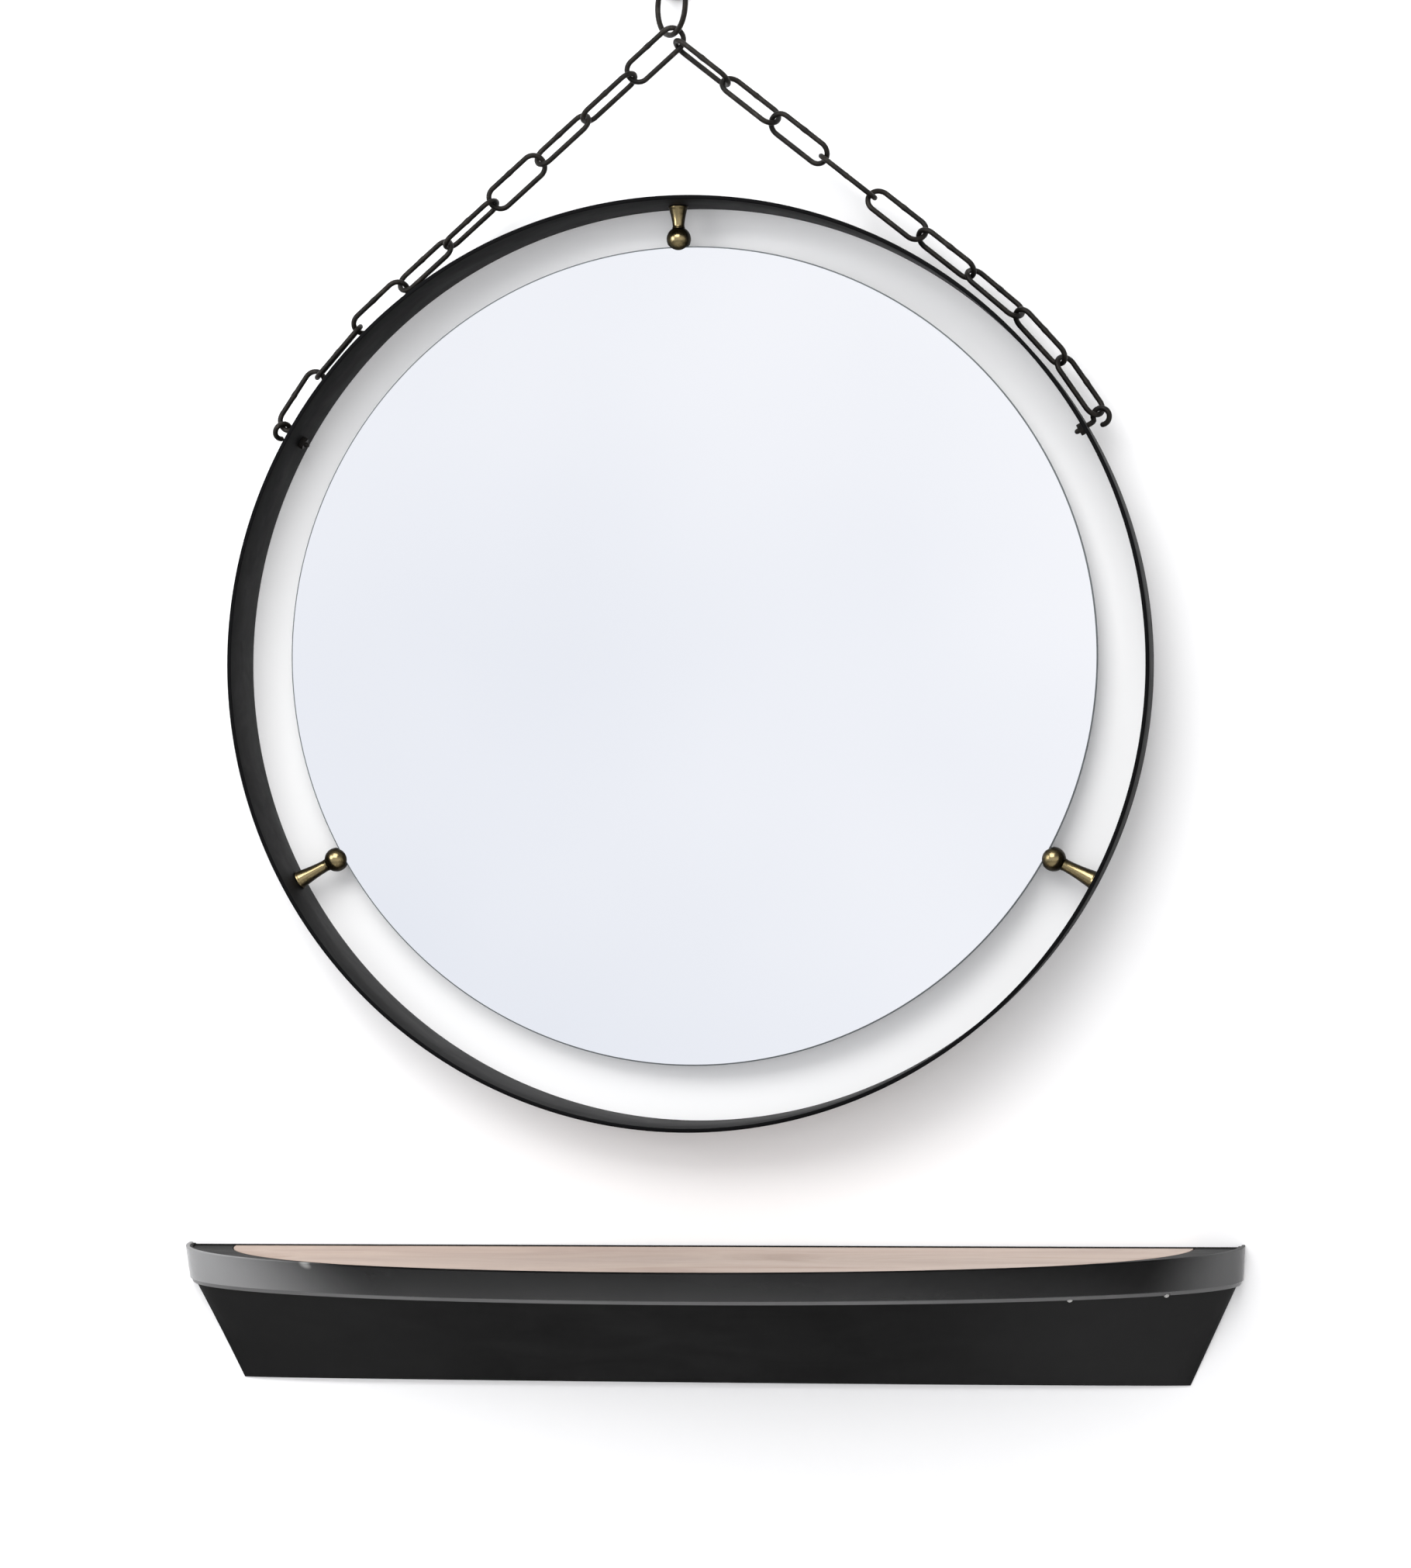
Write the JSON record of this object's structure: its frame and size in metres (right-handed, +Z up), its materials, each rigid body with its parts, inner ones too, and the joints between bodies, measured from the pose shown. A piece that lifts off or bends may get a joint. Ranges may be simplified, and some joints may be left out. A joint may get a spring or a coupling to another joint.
{
  "type": "wall mirror with console",
  "caption": "Round mirror held by ball fittings inside a deep flat-bar hoop on a chain, over a half-oval wall console with a wooden top.",
  "frame": {"origin": "on the console's back face at mid width, 51 mm under its top edge, on the wall plane", "axes": "+X to the right seen from the front, +Y into the wall, +Z up; the front faces -Y"},
  "size_m": [0.8192, 0.156, 1.0866],
  "materials": {
    "black_steel": "satin black lacquer",
    "hull_black": "matt black lacquer",
    "lip_steel": "worn bare edge",
    "bare_steel": "bare steel",
    "chain_iron": "blackened iron",
    "mirror_glass": "silvered plate glass",
    "backing_grey": "grey backing paint on the glass",
    "antique_brass": "aged brass with dark patina",
    "pale_wood": "pale oiled wood, grain along x",
    "batten_wood": "plain softwood",
    "liner_rubber": "thin rubber lining"
  },
  "bodies": {
    "wall_set": {"console_hull": "hull_black", "console_rim": "black_steel", "console_lip": "lip_steel", "console_rivets": "bare_steel", "console_back_plate": "hull_black", "console_top": "pale_wood", "console_ledge": "hull_black", "console_cleat": "batten_wood", "console_cleat_screws": "bare_steel", "console_gusset_left": "hull_black", "console_gusset_centre": "hull_black", "console_gusset_right": "hull_black", "wall_rose": "chain_iron", "wall_peg": "chain_iron"},
    "ring": {"hanging_ring": "chain_iron"},
    "chain_left": {"chain_left_upper": "chain_iron"},
    "chain_right": {"chain_right_upper": "chain_iron"},
    "mirror": {"mirror_hoop": "black_steel", "mirror_glass": "mirror_glass", "mirror_backing": "backing_grey", "post_top": "antique_brass", "post_left": "antique_brass", "post_right": "antique_brass", "ball_top": "antique_brass", "ball_left": "antique_brass", "ball_right": "antique_brass", "post_screws": "chain_iron", "ball_liners": "liner_rubber", "hook_left": "chain_iron", "hook_right": "chain_iron", "hook_nuts": "chain_iron", "chain_left_lower": "chain_iron", "chain_right_lower": "chain_iron"}
  },
  "joints": [
    {"name": "ring_swing", "type": "hinge", "parent": "wall_set", "child": "ring", "pos_m": [0, -0.03, 1.0051], "axis": [0, 1, 0], "range_deg": [-8, 8]},
    {"name": "chain_left_tilt", "type": "hinge", "parent": "ring", "child": "chain_left", "pos_m": [0, -0.03, 0.9665], "axis": [-1, 0, 0], "range_deg": [0, 15]},
    {"name": "chain_right_tilt", "type": "hinge", "parent": "ring", "child": "chain_right", "pos_m": [0, -0.03, 0.9665], "axis": [-1, 0, 0], "range_deg": [0, 15]},
    {"name": "mirror_plumb", "type": "hinge", "parent": "chain_left", "child": "mirror", "pos_m": [0, -0.03, 0.78225], "axis": [-0.9998, 0, 0.0175], "range_deg": [-15, 0]}
  ],
  "couplings": [
    {"joint": "chain_right_tilt", "follows": "chain_left_tilt", "ratio": 1},
    {"joint": "mirror_plumb", "follows": "chain_left_tilt", "ratio": -1}
  ]
}
